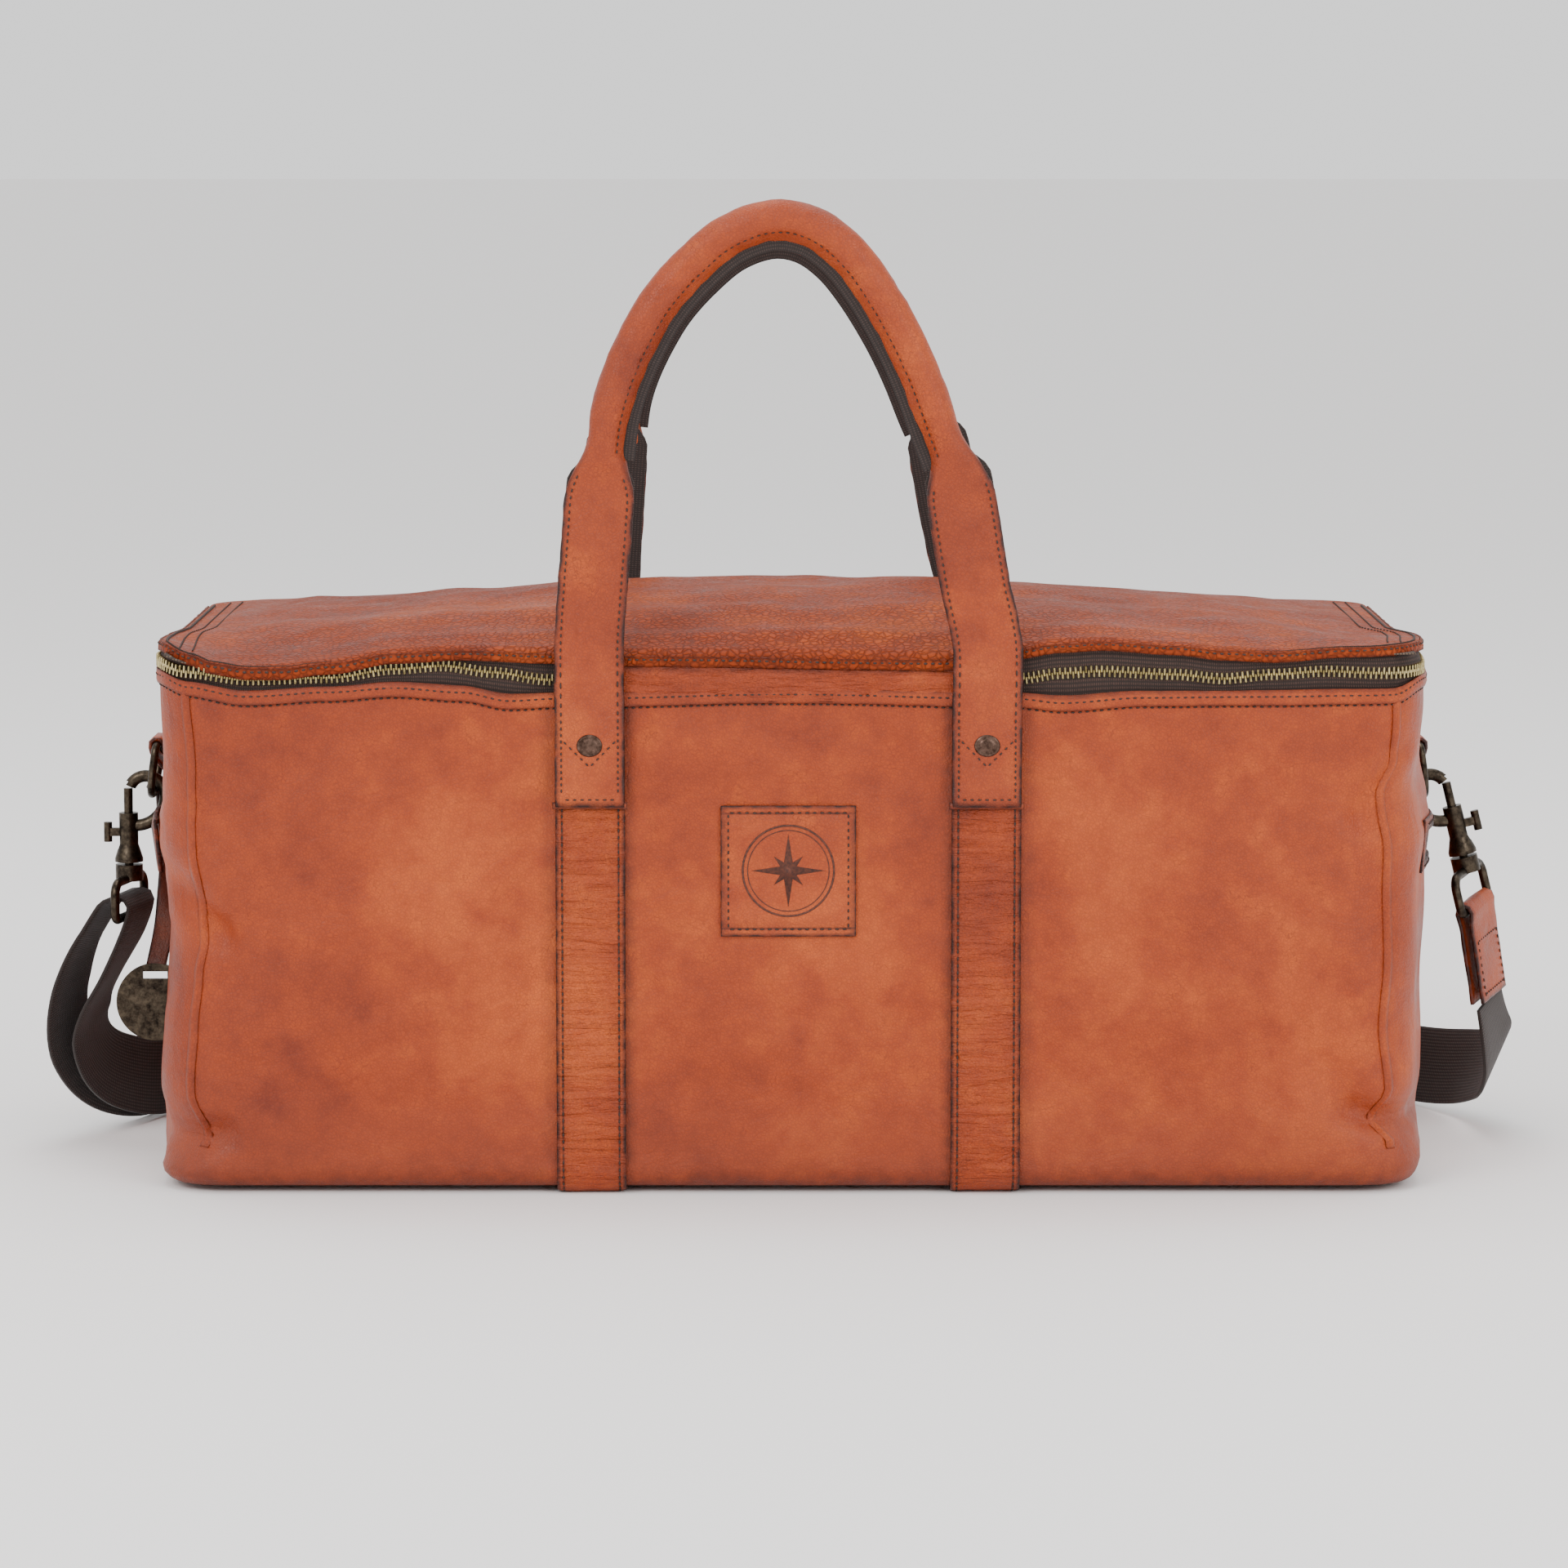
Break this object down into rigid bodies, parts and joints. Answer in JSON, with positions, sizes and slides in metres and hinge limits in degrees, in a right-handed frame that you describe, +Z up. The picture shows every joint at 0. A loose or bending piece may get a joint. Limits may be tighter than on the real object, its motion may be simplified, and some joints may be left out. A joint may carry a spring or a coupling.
{
  "type": "weekender bag",
  "caption": "Soft leather box-shaped weekender bag with zip-round lid, carry handles, end pockets, ring-hung hooks and a webbing shoulder strap.",
  "frame": {"origin": "middle of the body's footprint, on the surface that the bag stands on", "axes": "+X along the bag to the right-hand end as seen from the front, -Y is the front with the patch, +Z is up"},
  "size_m": [0.7138, 0.3227, 0.459],
  "materials": {
    "leather": "vegetable-tanned pull-up leather, satin, fine creases",
    "leather_trim": "strap leather, waxed, dark burnished edges",
    "leather_dark": "dark oxblood strap leather, satin",
    "lining_cloth": "plain cotton lining",
    "webbing": "woven cotton webbing, matte",
    "zip_tape": "woven zip tape, matte",
    "zip_brass": "antique brass, worn bright on the high spots",
    "hardware": "antiqued gunmetal plating, semi-gloss",
    "rivet_metal": "worn antique brass caps",
    "board": "pressed fibreboard",
    "rope_core": "twisted cotton rope"
  },
  "bodies": {
    "root": {"back_handle_feet": "leather_trim", "back_panel": "leather", "base_board": "board", "body_lining": "lining_cloth", "body_zip_tape": "zip_tape", "body_zip_teeth": "zip_brass", "bottom_panel": "leather", "front_handle_feet": "leather_trim", "front_panel": "leather", "handle_rivets": "rivet_metal", "left_end_panel": "leather", "left_pocket_bag": "lining_cloth", "left_pocket_frame": "leather_trim", "left_pocket_tape": "zip_tape", "left_pocket_teeth": "zip_brass", "left_ring_loop": "leather_trim", "maker_patch": "leather_trim", "rear_hinge_strip": "leather", "right_end_panel": "leather", "right_pocket_bag": "lining_cloth", "right_pocket_frame": "leather_trim", "right_pocket_tape": "zip_tape", "right_pocket_teeth": "zip_brass", "right_ring_loop": "leather_trim", "strap_adjuster": "hardware", "strap_end_tab": "leather_trim", "strap_main": "webbing", "strap_return": "webbing", "trim_strap_left": "leather_trim", "trim_strap_right": "leather_trim", "zip_guard": "leather_trim"},
    "lid": {"lid_panel": "leather", "lid_lining": "lining_cloth", "lid_zip_tape": "zip_tape", "lid_zip_teeth": "zip_brass"},
    "front_handle": {"front_handle_leather": "leather_trim", "front_handle_webbing": "webbing", "front_handle_core": "rope_core"},
    "back_handle": {"back_handle_leather": "leather_trim", "back_handle_webbing": "webbing", "back_handle_core": "rope_core"},
    "main_slider": {"main_slider": "hardware"},
    "main_pull": {"main_pull": "hardware"},
    "left_pocket_slider": {"left_pocket_slider": "hardware"},
    "left_pocket_pull": {"left_pocket_pull": "hardware"},
    "right_pocket_slider": {"right_pocket_slider": "hardware"},
    "right_pocket_pull": {"right_pocket_pull": "hardware"},
    "left_ring": {"left_d_ring": "hardware", "left_hook_body": "hardware", "left_hook_eye": "hardware", "left_hook_spring": "hardware"},
    "right_ring": {"right_d_ring": "hardware", "right_hook_body": "hardware", "right_hook_eye": "hardware", "right_hook_spring": "hardware"},
    "left_bolt": {"left_hook_bolt": "hardware"},
    "right_bolt": {"right_hook_bolt": "hardware"},
    "hang_tag": {"tag_strip": "leather_dark", "tag_disc": "hardware"}
  },
  "joints": [
    {"name": "lid_open", "type": "hinge", "parent": "root", "child": "lid", "pos_m": [0, 0.128, 0.252], "axis": [-1, 0, 0], "range_deg": [0, 68]},
    {"name": "front_handle_swing", "type": "hinge", "parent": "root", "child": "front_handle", "pos_m": [0, -0.1415, 0.256], "axis": [1, 0, 0], "range_deg": [-30, 150]},
    {"name": "back_handle_swing", "type": "hinge", "parent": "root", "child": "back_handle", "pos_m": [0, 0.1415, 0.256], "axis": [-1, 0, 0], "range_deg": [0, 150]},
    {"name": "main_zip_slide", "type": "slide", "parent": "root", "child": "main_slider", "axis": [0, -1, 0], "range_m": [0, 0.17]},
    {"name": "main_pull_flip", "type": "hinge", "parent": "main_slider", "child": "main_pull", "pos_m": [0.2912, 0.09, 0.2446], "axis": [0, -1, 0], "range_deg": [0, 120]},
    {"name": "left_pocket_zip_slide", "type": "slide", "parent": "root", "child": "left_pocket_slider", "axis": [0, -1, 0], "range_m": [0, 0.055]},
    {"name": "left_pocket_pull_flip", "type": "hinge", "parent": "left_pocket_slider", "child": "left_pocket_pull", "pos_m": [-0.2912, 0.0805, 0.1576], "axis": [0, 1, 0], "range_deg": [0, 120]},
    {"name": "right_pocket_zip_slide", "type": "slide", "parent": "root", "child": "right_pocket_slider", "axis": [0, -1, 0], "range_m": [0, 0.055]},
    {"name": "right_pocket_pull_flip", "type": "hinge", "parent": "right_pocket_slider", "child": "right_pocket_pull", "pos_m": [0.2912, 0.0805, 0.1576], "axis": [0, -1, 0], "range_deg": [0, 120]},
    {"name": "left_ring_swing", "type": "hinge", "parent": "root", "child": "left_ring", "pos_m": [-0.3035, 0, 0.195], "axis": [0, 1, 0], "range_deg": [0, 20], "deforming": ["strap_main", "strap_return"]},
    {"name": "right_ring_swing", "type": "hinge", "parent": "root", "child": "right_ring", "pos_m": [0.3035, 0, 0.195], "axis": [0, -1, 0], "range_deg": [0, 20], "deforming": ["strap_main", "strap_end_tab"]},
    {"name": "left_bolt_slide", "type": "slide", "parent": "left_ring", "child": "left_bolt", "axis": [0, 0, -1], "range_m": [0, 0.0065], "stiffness_N_per_m": 400, "springref_m": -0.002, "deforming": ["left_hook_spring"]},
    {"name": "right_bolt_slide", "type": "slide", "parent": "right_ring", "child": "right_bolt", "axis": [0.2419, 0, -0.9703], "range_m": [0, 0.0065], "stiffness_N_per_m": 400, "springref_m": -0.002, "deforming": ["right_hook_spring"]},
    {"name": "hang_tag_swing", "type": "hinge", "parent": "left_ring", "child": "hang_tag", "pos_m": [-0.30656, 0.009, 0.17321], "axis": [1, 0, 0], "range_deg": [-1, 9]}
  ]
}
